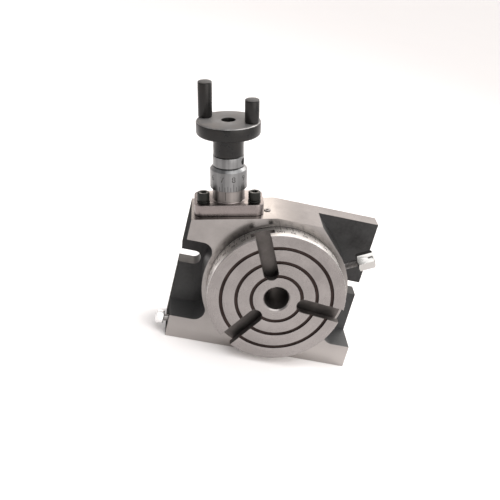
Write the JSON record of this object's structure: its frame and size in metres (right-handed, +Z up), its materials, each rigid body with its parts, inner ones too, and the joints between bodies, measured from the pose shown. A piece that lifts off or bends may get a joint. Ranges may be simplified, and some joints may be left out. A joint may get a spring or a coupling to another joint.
{
  "type": "rotary table",
  "caption": "Vertical rotary table: cast body on a foot, T-slotted round table, inclined worm drive with graduated dial and two-handled handwheel, and clamp screws.",
  "frame": {"origin": "middle of the foot's bottom face, straight below the table's axis", "axes": "+Z up from the foot, -Y out of the table's face, +X towards the clamp knob, away from the worm"},
  "size_m": [0.1554, 0.0575, 0.1884],
  "materials": {
    "casting": "ground faces, dark painted recesses",
    "table_iron": "fine turned and ground",
    "steel": "satin turned",
    "bright_steel": "bright plated",
    "black_steel": "black oxide, polished",
    "bronze": "as cut",
    "brass": "turned"
  },
  "bodies": {
    "body": {"base_casting": "casting", "worm_sleeve": "casting", "sleeve_washer_left": "black_steel", "sleeve_washer_right": "black_steel", "sleeve_bolt_left": "black_steel", "sleeve_bolt_right": "black_steel", "worm_end_bush": "bronze", "worm_thrust_washer": "bronze", "oiler_body": "brass"},
    "table": {"rotary_table": "table_iron", "worm_wheel": "bronze", "wheel_screw_1": "black_steel", "wheel_screw_2": "black_steel", "wheel_screw_3": "black_steel", "retaining_ring": "steel", "ring_screw_1": "black_steel", "ring_screw_2": "black_steel", "ring_screw_3": "black_steel"},
    "worm": {"worm_shaft": "steel", "adjusting_nut": "steel", "dial_collar": "steel", "collar_set_screw": "black_steel", "handwheel": "black_steel", "handwheel_set_screw": "black_steel", "long_handle_pin": "black_steel", "short_handle_pin": "black_steel"},
    "dial": {"dial": "steel"},
    "long_grip": {"long_handle_grip": "black_steel"},
    "short_grip": {"short_handle_grip": "black_steel"},
    "clamp_pad": {"clamp_pad": "brass"},
    "clamp_screw": {"clamp_stud": "steel", "clamp_knob": "bright_steel"},
    "lock_cotter": {"lock_cotter": "brass"},
    "lock_screw": {"lock_screw": "steel", "lock_knob": "bright_steel"},
    "oiler_ball": {"oiler_ball": "steel"}
  },
  "joints": [
    {"name": "worm_spin", "type": "hinge", "parent": "body", "child": "worm", "pos_m": [-0.03213, 0, 0.04745], "axis": [-0.2287, 0, 0.9735], "continuous": true},
    {"name": "table_spin", "type": "hinge", "parent": "body", "child": "table", "pos_m": [0, 0, 0.055], "axis": [0, -1, 0], "continuous": true},
    {"name": "dial_zero", "type": "hinge", "parent": "worm", "child": "dial", "pos_m": [-0.05042, 0, 0.12533], "axis": [-0.2287, 0, 0.9735], "continuous": true},
    {"name": "long_grip_spin", "type": "hinge", "parent": "worm", "child": "long_grip", "pos_m": [-0.07616, 0.00737, 0.16551], "axis": [-0.2287, 0, 0.9735], "continuous": true},
    {"name": "short_grip_spin", "type": "hinge", "parent": "worm", "child": "short_grip", "pos_m": [-0.04526, -0.00737, 0.17277], "axis": [-0.2287, 0, 0.9735], "continuous": true},
    {"name": "clamp_slide", "type": "slide", "parent": "body", "child": "clamp_pad", "axis": [0.8771, 0, 0.4802], "range_m": [-0.00025, 0.0005]},
    {"name": "clamp_turn", "type": "hinge", "parent": "clamp_pad", "child": "clamp_screw", "pos_m": [0.05263, -0.013, 0.08381], "axis": [0.8771, 0, 0.4802], "range_deg": [-90, 180]},
    {"name": "lock_slide", "type": "slide", "parent": "body", "child": "lock_cotter", "axis": [-1, 0, 0], "range_m": [-0.00063, 0.00063]},
    {"name": "lock_turn", "type": "hinge", "parent": "lock_cotter", "child": "lock_screw", "pos_m": [-0.07, -0.013, 0.0112], "axis": [-1, 0, 0], "range_deg": [-180, 180]},
    {"name": "oiler_press", "type": "slide", "parent": "body", "child": "oiler_ball", "axis": [0.2287, 0, -0.9735], "range_m": [0, 0.0008], "stiffness_N_per_m": 300, "springref_m": -0.0005}
  ],
  "couplings": [
    {"joint": "table_spin", "follows": "worm_spin", "ratio": 0.027778},
    {"joint": "clamp_turn", "follows": "clamp_slide", "rad_per_m": 6283.2},
    {"joint": "lock_turn", "follows": "lock_slide", "rad_per_m": 5026.5}
  ]
}
